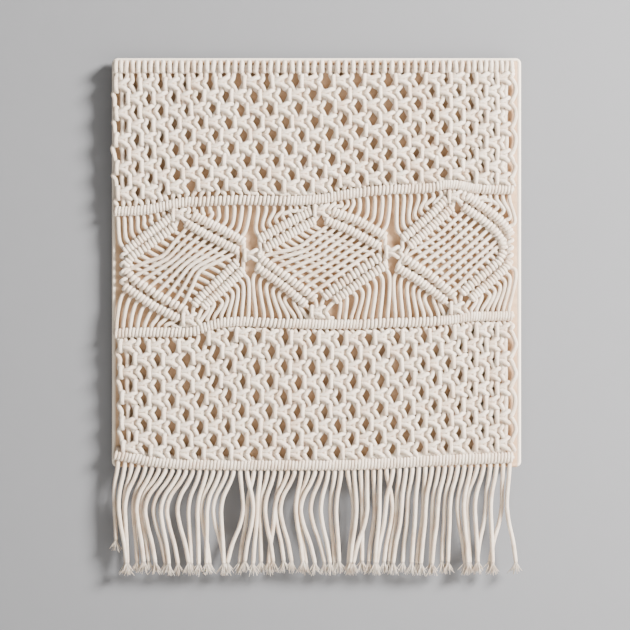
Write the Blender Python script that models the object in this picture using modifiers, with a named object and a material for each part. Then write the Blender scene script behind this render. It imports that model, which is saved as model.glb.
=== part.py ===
"""Square macrame wall hanging: knotted cotton cord on a lined cloth panel, hung from a hidden batten.

Metres, +Z up. The knotted face looks along -Y. The origin is on the line through the two hanger
slots, midway between them, in the plane of the hanger plates' rear faces.
"""
import math

import bmesh
import bpy
from mathutils import Matrix, Vector

# Panel and cloth
PANEL_WIDTH = 0.450
PANEL_HEIGHT = 0.450
PANEL_CORNER = 0.006
CLOTH_THICKNESS = 0.0010
LINING_INSET = 0.003
HANG_DEPTH = 0.030          # hanger slots below the panel's top edge
GAP = 0.0003                # between pieces that touch on the real object

# Cord work
CORD = 0.0040
SIDE_MARGIN = 0.0065        # cloth beside the knotting, on average
KNOTTED_OFFSET = -0.003     # the knotting sits a little left of the cloth's middle
NET_DEPTH = 0.0085
NET_ROWS = 9
KNOTS_IN_LONG_ROW = 15
HOLE_WIDTH = 0.0065
HOLE_MARGIN = 0.0022        # cord work left above and below each hole in a net
HEADER_HEIGHT = 0.0140
HEADER_DEPTH = 0.0090
HEADER_MARGIN = 0.0022      # cloth showing above the header knots
BAR_HEIGHT = 0.0110
BAR_DEPTH = 0.0090
CORE_CLEARANCE = 0.0003     # round the cord that a bar or the header is knotted over
COURSE_GAP = 0.0005         # between a bar and the cord work above or below it

# Courses, measured down from the panel's top edge to each bar's middle
UPPER_BAR_DROP = 0.157
LOWER_BAR_DROP = 0.293
BOTTOM_BAR_RISE = 0.004     # bottom bar's middle above the cloth's bottom edge
# How each course rises and falls from left edge to right edge
UPPER_BAR_WAVE = (-0.012, -0.011, -0.001, 0.000, 0.001, 0.005, 0.012, 0.013, 0.016, 0.012)
LOWER_BAR_WAVE = (-0.009, -0.008, -0.006, 0.001, 0.000, 0.000, 0.002, 0.004, 0.005, 0.009)
BOTTOM_BAR_WAVE = (0.010, 0.003, 0.001, 0.000, 0.000, 0.000, 0.001, 0.004, 0.006, 0.008)

# Diamonds
DIAMOND_COUNT = 3
DIAMOND_SPANS = ((0.020, 0.340), (0.350, 0.692), (0.702, 0.978))   # shares of the knotted width
DIAMOND_PEAKS = (0.182, 0.535, 0.860)
DIAMOND_TOP_GAP = 0.0016    # clear space between the upper bar and the outline's top corner
DIAMOND_BOTTOM_GAP = 0.0046
DIAMOND_WAIST = 0.47        # height of the side corners, as a share from bottom to top
OUTLINE_WIDTH = 0.0074
OUTLINE_DEPTH = 0.0088
CORNER_REACH = 0.8          # of the outline's width that its top corner stands above its middle
CORNER_CUT = 0.004          # taken off each sharp corner of a diamond, along both its sides
FILL_THICKNESS = 0.0030
FLOAT_THICKNESS = 0.0040

# Fringe
FRINGE_GROUPS = 10
CORDS_PER_GROUP = 6
FRINGE_LENGTH = 0.116
FRINGE_HEADING = 0.004
FRINGE_CLEARANCE = 0.0025   # hinge line below the bottom bar, so that a lifted group clears it

# Batten, sleeve and hangers
BATTEN_MARGIN = 0.010       # batten short of the panel's edge, at each end
BATTEN_HEIGHT = 0.025
BATTEN_THICKNESS = 0.005
BATTEN_END = 0.035          # batten standing out of the sleeve, at each end
SLEEVE_EASE = 0.007         # room under the batten inside the sleeve
SLEEVE_CLOTH = 0.0008
PLATE_WIDTH = 0.030
PLATE_HEIGHT = 0.016
PLATE_THICKNESS = 0.0012
PLATE_END = 0.017           # middle of each hanger plate from the batten's end
SLOT_RADIUS = 0.0020
SLOT_LENGTH = 0.0040
ENTRY_RADIUS = 0.0037
POCKET_MARGIN = 0.0010      # batten pocket beyond the keyhole
SCREW_OFFSET = 0.0105
SCREW_LENGTH = 0.0046
SCREW_HEAD_RADIUS = 0.0022
SCREW_SHANK_RADIUS = 0.0011
SCREW_HEAD_DEPTH = 0.0011
SCREW_SUNK = 0.0001

# Places that follow from the sizes
PANEL_TOP = HANG_DEPTH
PANEL_BOTTOM = PANEL_TOP - PANEL_HEIGHT
KNOTTED_WIDTH = PANEL_WIDTH - 2 * SIDE_MARGIN
KNOTTED_LEFT = KNOTTED_OFFSET - KNOTTED_WIDTH / 2
KNOTTED_RIGHT = KNOTTED_OFFSET + KNOTTED_WIDTH / 2
CORD_PITCH = KNOTTED_WIDTH / (FRINGE_GROUPS * CORDS_PER_GROUP)
BATTEN_LENGTH = PANEL_WIDTH - 2 * BATTEN_MARGIN
SLEEVE_LENGTH = BATTEN_LENGTH - 2 * BATTEN_END
PLATE_SPACING = BATTEN_LENGTH - 2 * PLATE_END
BATTEN_REAR = -PLATE_THICKNESS - GAP
BATTEN_FRONT = BATTEN_REAR - BATTEN_THICKNESS
SLEEVE_FRONT = BATTEN_FRONT - GAP - SLEEVE_CLOTH
LINING_REAR = SLEEVE_FRONT - GAP
LINING_FRONT = LINING_REAR - CLOTH_THICKNESS
CLOTH_REAR = LINING_FRONT - GAP
CLOTH_FRONT = CLOTH_REAR - CLOTH_THICKNESS
KNOTTING_REAR = CLOTH_FRONT - GAP
KNOTTING_MIDDLE = KNOTTING_REAR - BAR_DEPTH / 2
HEADER_TOP = PANEL_TOP - HEADER_MARGIN
HEADER_BOTTOM = HEADER_TOP - HEADER_HEIGHT

for old in list(bpy.data.objects):
    bpy.data.objects.remove(old, do_unlink=True)

parts = bpy.data.collections.new("macrame_wall_hanging")
cutters = bpy.data.collections.new("cutters")
bpy.context.scene.collection.children.link(parts)
bpy.context.scene.collection.children.link(cutters)


def material(name, colour, roughness, metallic=0.0):
    """One Principled material."""
    made = bpy.data.materials.new(name)
    made.use_nodes = True
    shader = made.node_tree.nodes["Principled BSDF"]
    shader.inputs["Base Color"].default_value = (*colour, 1.0)
    shader.inputs["Roughness"].default_value = roughness
    shader.inputs["Metallic"].default_value = metallic
    return made


def place(shape, finish, collection=parts):
    """Puts an object in its collection with a material of its own."""
    for home in list(shape.users_collection):
        home.objects.unlink(shape)
    collection.objects.link(shape)
    if finish:
        shape.data.materials.append(material(shape.name, *finish))
    return shape


def as_cutter(shape):
    """Marks an object as a cutter."""
    shape.hide_render = True
    shape.display_type = "WIRE"
    return shape


def to_mesh(shape, finish, collection=parts):
    """Makes a curve a closed mesh object in world space and removes the curve."""
    name = shape.name
    bpy.context.view_layer.update()
    seen = shape.evaluated_get(bpy.context.evaluated_depsgraph_get())
    mesh = bpy.data.meshes.new_from_object(seen)
    mesh.transform(shape.matrix_world)
    bpy.data.objects.remove(shape, do_unlink=True)
    weld(mesh)
    solid = bpy.data.objects.new(name, mesh)
    return place(solid, finish, collection)


def weld(mesh):
    """Joins a mesh's loose caps to its walls and turns its faces outward."""
    work = bmesh.new()
    work.from_mesh(mesh)
    bmesh.ops.remove_doubles(work, verts=work.verts, dist=0.00001)
    bmesh.ops.recalc_face_normals(work, faces=work.faces)
    work.to_mesh(mesh)
    work.free()


def add_loop(curve, points):
    """Adds one closed straight-sided loop to a curve."""
    loop = curve.splines.new("POLY")
    loop.points.add(len(points) - 1)
    for spot, (x, y) in zip(loop.points, points):
        spot.co = (x, y, 0.0, 1.0)
    loop.use_cyclic_u = True


def plate(name, outline, rear, thickness, finish, holes=(), collection=parts, chamfer=0.0):
    """A flat piece in the XZ plane, from its rear face towards the viewer."""
    curve = bpy.data.curves.new(name, "CURVE")
    curve.dimensions = "2D"
    curve.fill_mode = "BOTH"
    curve.extrude = thickness / 2 - chamfer
    curve.bevel_depth = chamfer
    curve.bevel_resolution = 0
    curve.offset = -chamfer
    add_loop(curve, outline)
    for hole in holes:
        add_loop(curve, hole)
    shape = bpy.data.objects.new(name, curve)
    shape.location = (0.0, rear - thickness / 2, 0.0)
    shape.rotation_euler = (math.pi / 2, 0.0, 0.0)
    parts.objects.link(shape)
    return to_mesh(shape, finish, collection)


def block(name, size, centre, bevel, segments, finish):
    """A box with bevelled edges."""
    mesh = bpy.data.meshes.new(name)
    work = bmesh.new()
    bmesh.ops.create_cube(work, size=1.0)
    bmesh.ops.scale(work, vec=size, verts=work.verts)
    work.to_mesh(mesh)
    work.free()
    shape = place(bpy.data.objects.new(name, mesh), finish)
    shape.location = centre
    soften = shape.modifiers.new("soft_edges", "BEVEL")
    soften.width = bevel
    soften.segments = segments
    return shape


def tube(name, points, radius, finish, closed=False, flatten=1.0, collection=parts):
    """A cord or a bar swept along points (x, z) in the plane y, with an oval section if flattened."""
    curve = bpy.data.curves.new(name, "CURVE")
    curve.dimensions = "3D"
    curve.bevel_depth = radius
    curve.bevel_resolution = 2
    curve.use_fill_caps = not closed
    run = curve.splines.new("POLY")
    run.points.add(len(points) - 1)
    for spot, (x, z) in zip(run.points, points):
        spot.co = (x, 0.0, z, 1.0)
    run.use_cyclic_u = closed
    shape = bpy.data.objects.new(name, curve)
    shape.location = (0.0, KNOTTING_MIDDLE, 0.0)
    shape.scale = (1.0, flatten, 1.0)
    parts.objects.link(shape)
    return to_mesh(shape, finish, collection)


def cut(shape, cutter):
    """Takes a cutter out of a piece."""
    take = shape.modifiers.new("cut_" + cutter.name, "BOOLEAN")
    take.operation = "DIFFERENCE"
    take.solver = "EXACT"
    take.object = as_cutter(cutter)


def arc(centre, radius, start, end, steps):
    """Points on an arc, angles in degrees."""
    angles = [math.radians(start + (end - start) * step / steps) for step in range(steps + 1)]
    return [(centre[0] + radius * math.cos(a), centre[1] + radius * math.sin(a)) for a in angles]


def rounded_rectangle(left, right, bottom, top, radius, steps=3):
    """Outline of a rectangle with round corners."""
    outline = arc((right - radius, top - radius), radius, 0, 90, steps)
    outline += arc((left + radius, top - radius), radius, 90, 180, steps)
    outline += arc((left + radius, bottom + radius), radius, 180, 270, steps)
    outline += arc((right - radius, bottom + radius), radius, 270, 360, steps)
    return outline


def wave(heights, x):
    """A course's rise at x: its listed heights lie at equal steps across the knotted width."""
    along = (x - KNOTTED_LEFT) / KNOTTED_WIDTH * (len(heights) - 1)
    along = min(max(along, 0.0), len(heights) - 1.0)
    step = min(int(along), len(heights) - 2)
    return heights[step] + (heights[step + 1] - heights[step]) * (along - step)


def upper_bar(x):
    """Height of the upper bar's middle."""
    return PANEL_TOP - UPPER_BAR_DROP + wave(UPPER_BAR_WAVE, x)


def lower_bar(x):
    """Height of the lower bar's middle."""
    return PANEL_TOP - LOWER_BAR_DROP + wave(LOWER_BAR_WAVE, x)


def bottom_bar(x):
    """Height of the bottom bar's middle."""
    return PANEL_BOTTOM + BOTTOM_BAR_RISE + wave(BOTTOM_BAR_WAVE, x)


def spread(low, high, count):
    """Evenly spaced values with both ends."""
    return [low + (high - low) * step / (count - 1) for step in range(count)]


def course_steps():
    """Where along the width each course's heights are listed."""
    return spread(KNOTTED_LEFT, KNOTTED_RIGHT, len(UPPER_BAR_WAVE))


COTTON = ((0.84, 0.78, 0.70), 0.9)
CLOTH = ((0.70, 0.57, 0.44), 0.95)
LINING = ((0.80, 0.73, 0.63), 0.95)
PINE = ((0.66, 0.47, 0.28), 0.6)
STEEL = ((0.62, 0.62, 0.64), 0.35, 1.0)
BRASS = ((0.72, 0.56, 0.27), 0.35, 1.0)


def cloths():
    """The cloth behind the knotting and its lining, both flat with round corners."""
    half = PANEL_WIDTH / 2
    front = rounded_rectangle(-half, half, PANEL_BOTTOM, PANEL_TOP, PANEL_CORNER)
    plate("front_cloth", front, CLOTH_REAR, CLOTH_THICKNESS, CLOTH)
    inner = half - LINING_INSET
    back = rounded_rectangle(-inner, inner, PANEL_BOTTOM + LINING_INSET, PANEL_TOP - LINING_INSET,
                             PANEL_CORNER)
    plate("back_lining", back, LINING_REAR, CLOTH_THICKNESS, LINING)


def sleeve():
    """A flat cloth tube on the lining, open at both ends, that the batten runs through."""
    rear = GAP + SLEEVE_CLOTH
    top = BATTEN_HEIGHT / 2 + GAP + SLEEVE_CLOTH
    bottom = -BATTEN_HEIGHT / 2 - SLEEVE_EASE - SLEEVE_CLOTH
    radius = 2 * SLEEVE_CLOTH
    outer = rounded_rectangle(SLEEVE_FRONT, rear, bottom, top, radius, 2)
    inner = rounded_rectangle(SLEEVE_FRONT + SLEEVE_CLOTH, rear - SLEEVE_CLOTH,
                              bottom + SLEEVE_CLOTH, top - SLEEVE_CLOTH, radius - SLEEVE_CLOTH, 2)
    curve = bpy.data.curves.new("hanging_sleeve", "CURVE")
    curve.dimensions = "2D"
    curve.fill_mode = "BOTH"
    curve.extrude = SLEEVE_LENGTH / 2
    add_loop(curve, outer)
    add_loop(curve, inner)
    shape = bpy.data.objects.new("hanging_sleeve", curve)
    shape.rotation_euler = (math.pi / 2, 0.0, math.pi / 2)
    parts.objects.link(shape)
    to_mesh(shape, LINING)


def keyhole(grow):
    """Outline of the hanger's keyhole: a narrow slot above a round entry, grown by a margin."""
    slot = SLOT_RADIUS + grow
    entry = ENTRY_RADIUS + grow
    meet = math.degrees(math.acos(slot / entry))
    outline = arc((0.0, 0.0), slot, 0, 180, 6)
    outline += arc((0.0, -SLOT_LENGTH), entry, 180 - meet, 360 + meet, 12)
    return outline


def batten():
    """The wooden slat, with a pocket behind each keyhole and a pilot hole for each screw."""
    size = (BATTEN_LENGTH, BATTEN_THICKNESS, BATTEN_HEIGHT)
    slat = block("batten", size, (0.0, (BATTEN_REAR + BATTEN_FRONT) / 2, 0.0), 0.0008, 1, PINE)
    for side in (-1, 1):
        centre = side * PLATE_SPACING / 2
        edge = [(x + centre, z) for x, z in keyhole(POCKET_MARGIN)]
        pocket = plate(f"pocket_cutter_{side}", edge, BATTEN_REAR + 0.002,
                       BATTEN_THICKNESS + 0.004, None, collection=cutters)
        cut(slat, pocket)
        for offset in (-SCREW_OFFSET, SCREW_OFFSET):
            cut(slat, screw(f"pilot_cutter_{centre + offset:.4f}", centre + offset, GAP, None))


def screw(name, x, grow, finish):
    """A countersunk screw, driven from the rear; grown by a margin it is its own cutter."""
    rear = -SCREW_SUNK + grow
    tip = rear - SCREW_LENGTH - 2 * grow
    neck = -SCREW_SUNK - SCREW_HEAD_DEPTH
    profile = [(0.0, rear), (SCREW_HEAD_RADIUS + grow, rear), (SCREW_HEAD_RADIUS + grow, rear - grow),
               (SCREW_SHANK_RADIUS + grow, neck), (SCREW_SHANK_RADIUS + grow, tip), (0.0, tip)]
    mesh = bpy.data.meshes.new(name)
    mesh.from_pydata([(r, 0.0, y) for r, y in profile], [(i, i + 1) for i in range(5)], [])
    turned = bpy.data.objects.new(name, mesh)
    place(turned, finish, parts if finish else cutters)
    spin = turned.modifiers.new("turn", "SCREW")
    spin.axis = "Z"
    spin.steps = 12
    spin.render_steps = 12
    spin.use_merge_vertices = True
    spin.merge_threshold = 0.00001
    turned.location = (x, 0.0, 0.0)
    turned.rotation_euler = (-math.pi / 2, 0.0, 0.0)
    return turned


def hangers():
    """Two steel keyhole plates on the batten's ends, each held by two brass screws."""
    for side, word in ((-1, "left"), (1, "right")):
        centre = side * PLATE_SPACING / 2
        edge = rounded_rectangle(centre - PLATE_WIDTH / 2, centre + PLATE_WIDTH / 2,
                                 -PLATE_HEIGHT / 2, PLATE_HEIGHT / 2, 0.003)
        slot = [(x + centre, z) for x, z in keyhole(0.0)]
        body = plate(f"{word}_hanger_plate", edge, 0.0, PLATE_THICKNESS, STEEL, holes=[slot])
        for offset, end in ((-SCREW_OFFSET, "a"), (SCREW_OFFSET, "b")):
            sink = screw(f"{word}_sink_cutter_{end}", centre + offset, GAP, None)
            cut(body, sink)
            screw(f"{word}_hanger_screw_{end}", centre + offset, 0.0, BRASS)


def header():
    """The holding cord along the top, and the row of lark's head knots round it."""
    middle = (HEADER_TOP + HEADER_BOTTOM) / 2
    ends = [(KNOTTED_LEFT + GAP, middle), (KNOTTED_RIGHT - GAP, middle)]
    tube("holding_cord", ends, CORD / 2, COTTON)
    size = (KNOTTED_WIDTH, HEADER_DEPTH, HEADER_HEIGHT)
    row = block("header_knots", size, (KNOTTED_OFFSET, KNOTTING_MIDDLE, middle), 0.0022, 2, COTTON)
    past = [(KNOTTED_LEFT - CORD, middle), (KNOTTED_RIGHT + CORD, middle)]
    bore = tube("header_bore_cutter", past, CORD / 2 + CORE_CLEARANCE, None, collection=cutters)
    cut(row, bore)


def hitch_bar(name, height):
    """A row of clove hitches across the panel, knotted over a core cord."""
    line = [(x, height(x)) for x in course_steps()]
    core = [(line[0][0] + GAP, line[0][1])] + line[1:-1] + [(line[-1][0] - GAP, line[-1][1])]
    tube(f"{name}_core_cord", core, CORD / 2, COTTON)
    bar = tube(name, line, BAR_HEIGHT / 2, COTTON, flatten=BAR_DEPTH / BAR_HEIGHT)
    past = [(line[0][0] - CORD, line[0][1])] + line + [(line[-1][0] + CORD, line[-1][1])]
    cut(bar, tube(f"{name}_bore_cutter", past, CORD / 2 + CORE_CLEARANCE, None, collection=cutters))


def net_row(name, top, bottom, row):
    """One row of square knots: a strip that is open between the knots."""

    def edge(x, share):
        return top(x) + (bottom(x) - top(x)) * share

    share_top = row / NET_ROWS
    share_bottom = (row + 1) / NET_ROWS
    across = course_steps()
    outline = [(x, edge(x, share_top) - GAP / 2) for x in across]
    outline += [(x, edge(x, share_bottom) + GAP / 2) for x in reversed(across)]
    long_row = row % 2 == 0
    first = 1.0 if long_row else 0.5
    count = KNOTS_IN_LONG_ROW - 1 if long_row else KNOTS_IN_LONG_ROW
    knot_pitch = KNOTTED_WIDTH / KNOTS_IN_LONG_ROW
    holes = []
    for step in range(count):
        x = KNOTTED_LEFT + (first + step) * knot_pitch
        high = edge(x, share_top) - HOLE_MARGIN
        low = edge(x, share_bottom) + HOLE_MARGIN
        middle = (high + low) / 2
        holes.append([(x - HOLE_WIDTH / 2, middle), (x, low), (x + HOLE_WIDTH / 2, middle), (x, high)])
    plate(name, outline, KNOTTING_REAR, NET_DEPTH, COTTON, holes=holes)


def nets():
    """The two nets of alternating square knots, row by row."""
    reach = BAR_HEIGHT / 2 + COURSE_GAP
    for row in range(NET_ROWS):
        net_row(f"upper_net_row_{row + 1}", lambda x: HEADER_BOTTOM - GAP / 2,
                lambda x: upper_bar(x) + reach, row)
    for row in range(NET_ROWS):
        net_row(f"lower_net_row_{row + 1}", lambda x: lower_bar(x) - reach,
                lambda x: bottom_bar(x) + reach, row)


def diamond_corners(index):
    """Left, top, right and bottom corners of a diamond's outer row of hitches."""
    left, right = (KNOTTED_LEFT + share * KNOTTED_WIDTH for share in DIAMOND_SPANS[index])
    peak = KNOTTED_LEFT + DIAMOND_PEAKS[index] * KNOTTED_WIDTH
    half_rows = BAR_HEIGHT / 2 + OUTLINE_WIDTH * CORNER_REACH
    top = upper_bar(peak) - half_rows - DIAMOND_TOP_GAP
    bottom = lower_bar(peak) + half_rows + DIAMOND_BOTTOM_GAP
    waist = bottom + (top - bottom) * DIAMOND_WAIST
    return [(left, waist), (peak, top), (right, waist), (peak, bottom)]


def inset(corners, distance):
    """Moves a four-cornered outline's sides inward by a distance; corners run clockwise."""
    moved = []
    for index, (x, z) in enumerate(corners):
        before = corners[index - 1]
        after = corners[(index + 1) % len(corners)]
        first = unit(x - before[0], z - before[1])
        second = unit(after[0] - x, after[1] - z)
        inward = unit(second[0] - first[0], second[1] - first[1])
        lean = abs(first[0] * inward[1] - first[1] * inward[0])
        moved.append((x + inward[0] * distance / lean, z + inward[1] * distance / lean))
    return moved


def unit(x, z):
    """A direction of length 1."""
    size = math.hypot(x, z)
    return (x / size, z / size)


def blunt(corners):
    """An outline with each corner cut off."""
    points = []
    for index, (x, z) in enumerate(corners):
        before = corners[index - 1]
        after = corners[(index + 1) % len(corners)]
        for other in (before, after):
            towards = unit(other[0] - x, other[1] - z)
            points.append((x + towards[0] * CORNER_CUT, z + towards[1] * CORNER_CUT))
    return points


def diamonds():
    """Each diamond's double row of hitches, and the two layers of cords inside it."""
    flatten = OUTLINE_DEPTH / OUTLINE_WIDTH
    for index in range(DIAMOND_COUNT):
        name = f"diamond_{index + 1}"
        outer = diamond_corners(index)
        inner = inset(outer, OUTLINE_WIDTH + 2 * GAP)
        tube(f"{name}_outer_hitches", blunt(outer), OUTLINE_WIDTH / 2, COTTON,
             closed=True, flatten=flatten)
        tube(f"{name}_inner_hitches", blunt(inner), OUTLINE_WIDTH / 2, COTTON,
             closed=True, flatten=flatten)
        field = blunt(inset(inner, OUTLINE_WIDTH / 2 + 2 * GAP))
        plate(f"{name}_rear_cords", field, KNOTTING_REAR, FILL_THICKNESS, COTTON)
        plate(f"{name}_front_cords", field, KNOTTING_REAR - FILL_THICKNESS - GAP,
              FILL_THICKNESS, COTTON)


def floats():
    """The loose cords between each bar and the diamonds, as one thin layer above and one below."""
    reach = BAR_HEIGHT / 2 + COURSE_GAP
    clear = -(OUTLINE_WIDTH / 2 + 3 * GAP)
    across = course_steps()
    over = [(x, upper_bar(x) - reach) for x in across]
    under = [(x, lower_bar(x) + reach) for x in across]
    over_zigzag = []
    under_zigzag = []
    for index in range(DIAMOND_COUNT):
        left, top, right, bottom = inset(diamond_corners(index), clear)
        over_zigzag += [left, top, right]
        under_zigzag += [left, bottom, right]
    over_zigzag = join_at_crossings(over_zigzag, GAP)
    under_zigzag = join_at_crossings(under_zigzag, -GAP)
    plate("upper_float_cords", over + over_zigzag[::-1], KNOTTING_REAR, FLOAT_THICKNESS, COTTON)
    plate("lower_float_cords", under + under_zigzag[::-1], KNOTTING_REAR, FLOAT_THICKNESS, COTTON)


def join_at_crossings(zigzag, lift):
    """Replaces each pair of overlapping side corners by the point where their sides cross."""
    joined = run_out(zigzag[0], zigzag[1], KNOTTED_LEFT, lift)
    for index in range(DIAMOND_COUNT):
        peak, right = zigzag[3 * index + 1:3 * index + 3]
        joined.append(peak)
        if index + 1 < DIAMOND_COUNT:
            joined.append(crossing(peak, right, zigzag[3 * index + 3], zigzag[3 * index + 4]))
    return joined + run_out(zigzag[-1], zigzag[-2], KNOTTED_RIGHT, lift)[::-1]


def run_out(corner, peak, edge, lift):
    """Where the layer ends beside an outer diamond, from the panel's edge inward."""
    if abs(corner[0] - peak[0]) >= abs(edge - peak[0]):
        return [crossing(corner, peak, (edge, 0.0), (edge, 1.0))]
    level = corner[1] + lift
    return [(edge, level), crossing(corner, peak, (edge, level), (peak[0], level))]


def crossing(a, b, c, d):
    """The point where the line through a and b meets the line through c and d."""
    ab = (b[0] - a[0], b[1] - a[1])
    cd = (d[0] - c[0], d[1] - c[1])
    turn = ab[0] * cd[1] - ab[1] * cd[0]
    share = ((c[0] - a[0]) * cd[1] - (c[1] - a[1]) * cd[0]) / turn
    return (a[0] + ab[0] * share, a[1] + ab[1] * share)


def fringe():
    """The cut cord ends below the bottom bar, in groups that swing from it."""
    width = CORDS_PER_GROUP * CORD_PITCH
    for group in range(FRINGE_GROUPS):
        left = KNOTTED_LEFT + group * width
        middle = left + width / 2
        lowest = min(bottom_bar(x) for x in spread(left, left + width, 5))
        hinge = lowest - BAR_HEIGHT / 2 - FRINGE_CLEARANCE
        root = hinge - FRINGE_HEADING
        tip = PANEL_BOTTOM - FRINGE_LENGTH
        outline = []
        for cord in range(CORDS_PER_GROUP):
            x = left + (cord + 0.5) * CORD_PITCH
            outline += [(x - CORD / 2, root), (x - CORD / 2, tip + CORD / 4), (x, tip),
                        (x + CORD / 2, tip + CORD / 4), (x + CORD / 2, root)]
        outline += [(outline[-1][0], hinge), (outline[0][0], hinge)]
        comb = plate(f"fringe_group_{group + 1:02d}", outline, KNOTTING_MIDDLE + CORD / 2, CORD,
                     COTTON, chamfer=CORD / 5)
        set_origin(comb, (middle, KNOTTING_MIDDLE, hinge))


def set_origin(shape, spot):
    """Moves an object's origin to a point, its hinge line, and leaves its mesh where it is."""
    shape.data.transform(Matrix.Translation(-Vector(spot)))
    shape.location = spot


cloths()
sleeve()
batten()
hangers()
header()
nets()
hitch_bar("upper_hitch_bar", upper_bar)
hitch_bar("lower_hitch_bar", lower_bar)
hitch_bar("bottom_hitch_bar", bottom_bar)
diamonds()
floats()
fringe()
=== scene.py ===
import math
import random

import bpy
import numpy as np
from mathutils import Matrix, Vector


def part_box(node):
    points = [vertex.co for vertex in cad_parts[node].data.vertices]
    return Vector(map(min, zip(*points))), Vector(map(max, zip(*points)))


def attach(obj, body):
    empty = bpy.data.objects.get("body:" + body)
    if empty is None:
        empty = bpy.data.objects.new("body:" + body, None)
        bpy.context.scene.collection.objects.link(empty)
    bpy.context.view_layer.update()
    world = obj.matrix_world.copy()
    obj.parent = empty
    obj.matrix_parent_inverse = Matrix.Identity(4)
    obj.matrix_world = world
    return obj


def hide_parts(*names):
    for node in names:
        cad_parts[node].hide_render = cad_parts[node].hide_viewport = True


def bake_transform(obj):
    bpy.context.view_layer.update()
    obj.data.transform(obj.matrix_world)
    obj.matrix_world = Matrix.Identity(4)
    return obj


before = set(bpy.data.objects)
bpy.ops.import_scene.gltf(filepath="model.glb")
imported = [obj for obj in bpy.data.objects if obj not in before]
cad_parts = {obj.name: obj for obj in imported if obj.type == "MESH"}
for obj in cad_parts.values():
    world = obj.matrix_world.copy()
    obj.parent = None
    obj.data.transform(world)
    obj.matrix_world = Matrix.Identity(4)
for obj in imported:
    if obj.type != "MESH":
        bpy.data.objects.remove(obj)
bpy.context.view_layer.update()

# ---------------------------------------------------------------- sizes, in millimetres
# In-plane positions are x and z. Depth w is measured from the rear of the knotting towards the viewer.
REAR_OF_KNOTTING = -10.5
CORD_RADIUS = 2.0
KNOT_RADIUS = 2.5
FLOAT_RADIUS = 2.15
FRINGE_RADIUS = 2.3
HEADER_SWELL = 0.25
BAR_SQUEEZE = 0.24
STRANDS = 60
KNOTTED_LEFT = -221.5
KNOTTED_WIDTH = 437.0
PITCH = KNOTTED_WIDTH / STRANDS
PANEL_TOP = 30.0
PANEL_BOTTOM = -420.0
PANEL_HALF = 225.0
FRINGE_LENGTH = 116.0
GROUPS = 10

# The middle of each bar, as (x, z) from left to right.
UPPER_BAR = (
    (-221.5, -139.2), (-199, -138.6), (-182, -137), (-165.5, -133), (-154, -130.6), (-143, -128.7),
    (-126, -128.3), (-86.7, -126.5), (-61.7, -127.2), (-39.3, -127.4), (-17, -127.2), (5.6, -126),
    (16.8, -123.6), (33.5, -120.3), (58.9, -117), (80.9, -115), (109.2, -114.5), (126.3, -113.2),
    (137.7, -110), (151.9, -109.5), (166.1, -112.6), (185, -114.7), (215.5, -115.4),
)
LOWER_BAR = (
    (-221.5, -273.5), (-205, -272), (-171, -271.8), (-143, -272.1), (-131.8, -270.1), (-120.5, -265.6),
    (-104, -261.1), (-81, -260), (-58.8, -260.9), (-39.3, -262), (5.6, -263.1), (50.5, -263.2),
    (75, -261.5), (121, -260.4), (146.6, -258.2), (167.2, -254.5), (192.7, -254.2), (215.5, -253.8),
)
BOTTOM_BAR = (
    (-221.5, -405.5), (-205, -408.5), (-189.8, -411.6), (-172.9, -414), (-157.5, -415.6), (-124.4, -416.6),
    (-75.8, -417.2), (21.3, -417.2), (69.9, -416), (118.4, -413), (167, -411), (190, -410), (215.5, -409),
)
# Where the cords cross each bar, as (cord, x): crowded or spread a little from one stretch to the next.
UPPER_PLACES = (
    (0, -218), (12, -134.4), (15, -108), (24, -29), (29, 4.5), (35, 46.3),
    (40, 88), (46, 134.3), (50, 157.5), (54, 177.7), (59, 212),
)
LOWER_PLACES = (
    (0, -218), (7, -164.6), (12, -123.9), (19, -74), (24, -30.3), (29, 4.5),
    (35, 46.2), (40, 88), (46, 135.3), (50, 159.5), (54, 182.5), (59, 212),
)
BOTTOM_PLACES = ((0, -217.9), (30, 5.6), (59, 211.9))

# The x of each column of knots in a net, at its first row and at its last.
UPPER_FIRST = (
    -211.8, -185.4, -157.9, -131.5, -101.8, -69.9, -39.1, -7.2, 27.0, 61.1, 95.4, 127.3, 155.8, 182.6, 205.4,
)
UPPER_LAST = (
    -209.9, -182.4, -154.1, -121.2, -89.9, -58.4, -26.4, 3.9, 33.6, 63.6, 93.5, 123.8, 154.5, 182.4, 205.4,
)
LOWER_FIRST = (
    -206.3, -175.5, -142.5, -109.4, -79.8, -49.4, -19.3, 11.6, 41.3, 72.1, 102.9, 131.6, 158.6, 183.4, 205.4,
)
LOWER_LAST = (
    -203.5, -173.7, -143.7, -114.4, -84.4, -53.3, -23.1, 7, 37.1, 67.3, 97.4, 127.5, 155.7, 181.8, 205.4,
)
COLUMNS = len(UPPER_FIRST)
# How far down a net each row of knots lies, as a share.
ROW_SHARES = (0, 0.128, 0.255, 0.385, 0.512, 0.64, 0.765, 0.885, 1.0)

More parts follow.
